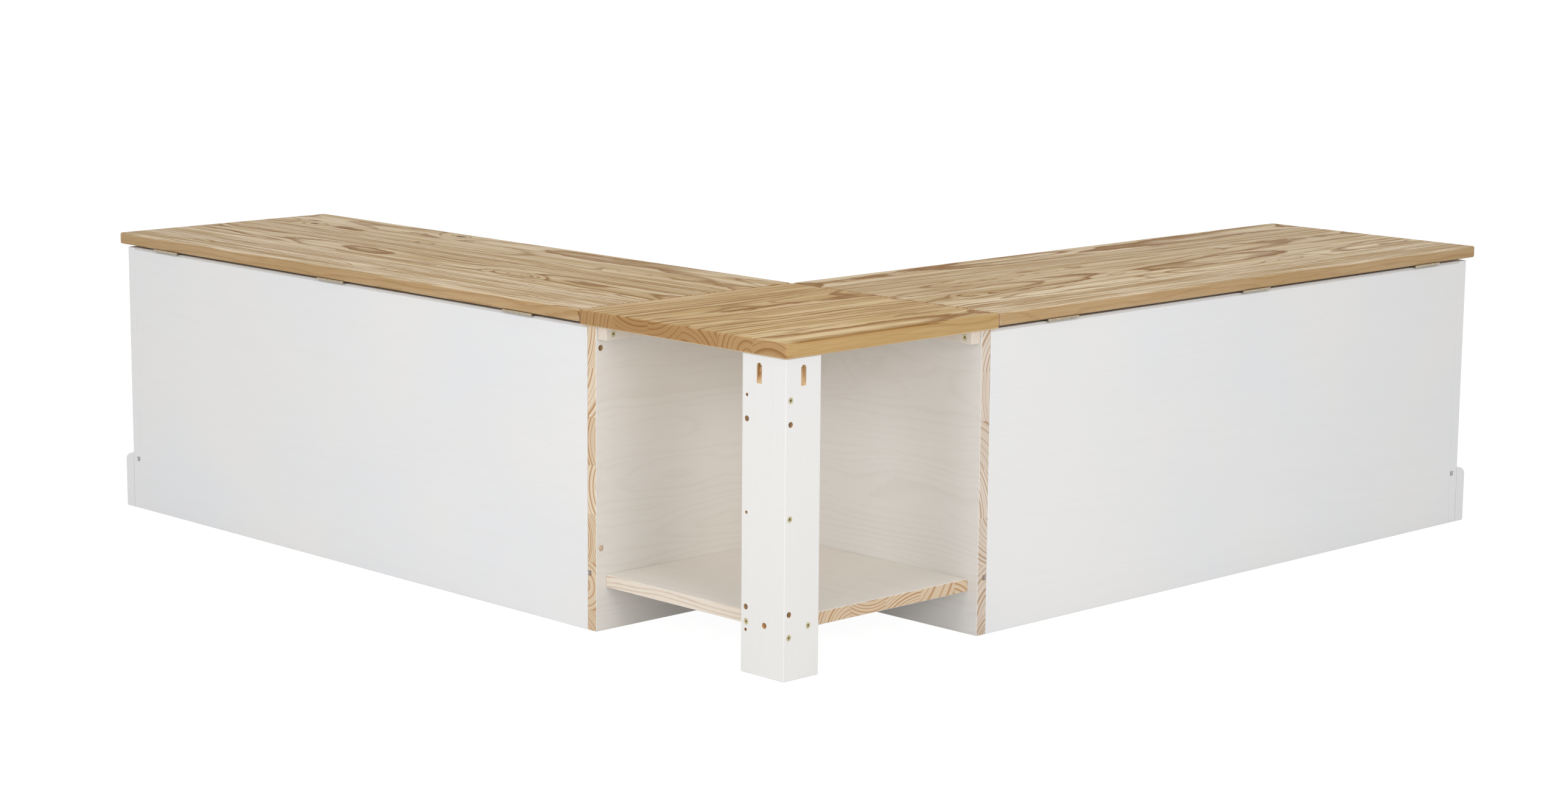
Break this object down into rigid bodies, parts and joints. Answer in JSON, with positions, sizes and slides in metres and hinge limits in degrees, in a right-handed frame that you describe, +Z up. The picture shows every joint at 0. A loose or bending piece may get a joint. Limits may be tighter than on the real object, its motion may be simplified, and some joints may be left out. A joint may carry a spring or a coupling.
{
  "type": "corner storage bench",
  "caption": "L-shaped corner bench of pine boards: lidded storage chests on both wings and a fixed corner seat on a leg and a low shelf.",
  "frame": {"origin": "middle of the bench's square outline, on the floor", "axes": "+Z up; the corner of the room is at the far end of -X and -Y; one chest runs along +X beside the wall at -Y, the other along +Y beside the wall at -X"},
  "size_m": [1.556, 1.556, 0.4513],
  "materials": {
    "white_lacquered_pine": "satin",
    "oiled_pine": "satin",
    "raw_pine": "matte",
    "thin_board": "satin",
    "yellow_zinc": "satin",
    "hinge_metal": "satin",
    "clear_pad": "satin"
  },
  "bodies": {
    "bench": {"left_inner_end_panel": "white_lacquered_pine", "left_outer_end_panel": "white_lacquered_pine", "left_back_panel": "white_lacquered_pine", "left_front_panel": "white_lacquered_pine", "left_front_plinth": "white_lacquered_pine", "left_end_plinth": "white_lacquered_pine", "left_batten": "white_lacquered_pine", "left_bottom_panel": "thin_board", "left_inner_hinge_body_leaf": "hinge_metal", "left_inner_hinge_pin": "hinge_metal", "left_middle_hinge_body_leaf": "hinge_metal", "left_middle_hinge_pin": "hinge_metal", "left_outer_hinge_body_leaf": "hinge_metal", "left_outer_hinge_pin": "hinge_metal", "left_inner_lid_pad": "clear_pad", "left_outer_lid_pad": "clear_pad", "left_shelf_screw": "yellow_zinc", "left_batten_wall_screw": "yellow_zinc", "left_batten_room_screw": "yellow_zinc", "right_inner_end_panel": "white_lacquered_pine", "right_outer_end_panel": "white_lacquered_pine", "right_back_panel": "white_lacquered_pine", "right_front_panel": "white_lacquered_pine", "right_front_plinth": "white_lacquered_pine", "right_end_plinth": "white_lacquered_pine", "right_batten": "white_lacquered_pine", "right_bottom_panel": "thin_board", "right_inner_hinge_body_leaf": "hinge_metal", "right_inner_hinge_pin": "hinge_metal", "right_middle_hinge_body_leaf": "hinge_metal", "right_middle_hinge_pin": "hinge_metal", "right_outer_hinge_body_leaf": "hinge_metal", "right_outer_hinge_pin": "hinge_metal", "right_inner_lid_pad": "clear_pad", "right_outer_lid_pad": "clear_pad", "right_shelf_screw": "yellow_zinc", "right_batten_wall_screw": "yellow_zinc", "right_batten_room_screw": "yellow_zinc", "right_upper_dowel": "raw_pine", "right_lower_dowel": "raw_pine", "left_leg_board": "white_lacquered_pine", "right_leg_board": "white_lacquered_pine", "shelf": "white_lacquered_pine", "corner_top": "oiled_pine", "leg_upper_screw": "yellow_zinc", "leg_middle_screw": "yellow_zinc", "leg_lower_screw": "yellow_zinc", "leg_left_shelf_screw": "yellow_zinc", "leg_right_shelf_screw": "yellow_zinc", "leg_left_pocket_screw": "yellow_zinc", "leg_right_pocket_screw": "yellow_zinc"},
    "left_lid": {"left_lid": "oiled_pine", "left_inner_hinge_lid_leaf": "hinge_metal", "left_middle_hinge_lid_leaf": "hinge_metal", "left_outer_hinge_lid_leaf": "hinge_metal"},
    "right_lid": {"right_lid": "oiled_pine", "right_inner_hinge_lid_leaf": "hinge_metal", "right_middle_hinge_lid_leaf": "hinge_metal", "right_outer_hinge_lid_leaf": "hinge_metal"}
  },
  "joints": [
    {"name": "left_lid_hinge", "type": "hinge", "parent": "bench", "child": "left_lid", "pos_m": [0.20615, -0.77554, 0.43165], "axis": [1, 0, 0], "range_deg": [0, 95]},
    {"name": "right_lid_hinge", "type": "hinge", "parent": "bench", "child": "right_lid", "pos_m": [-0.77554, 0.20615, 0.43165], "axis": [0, -1, 0], "range_deg": [0, 95]}
  ]
}
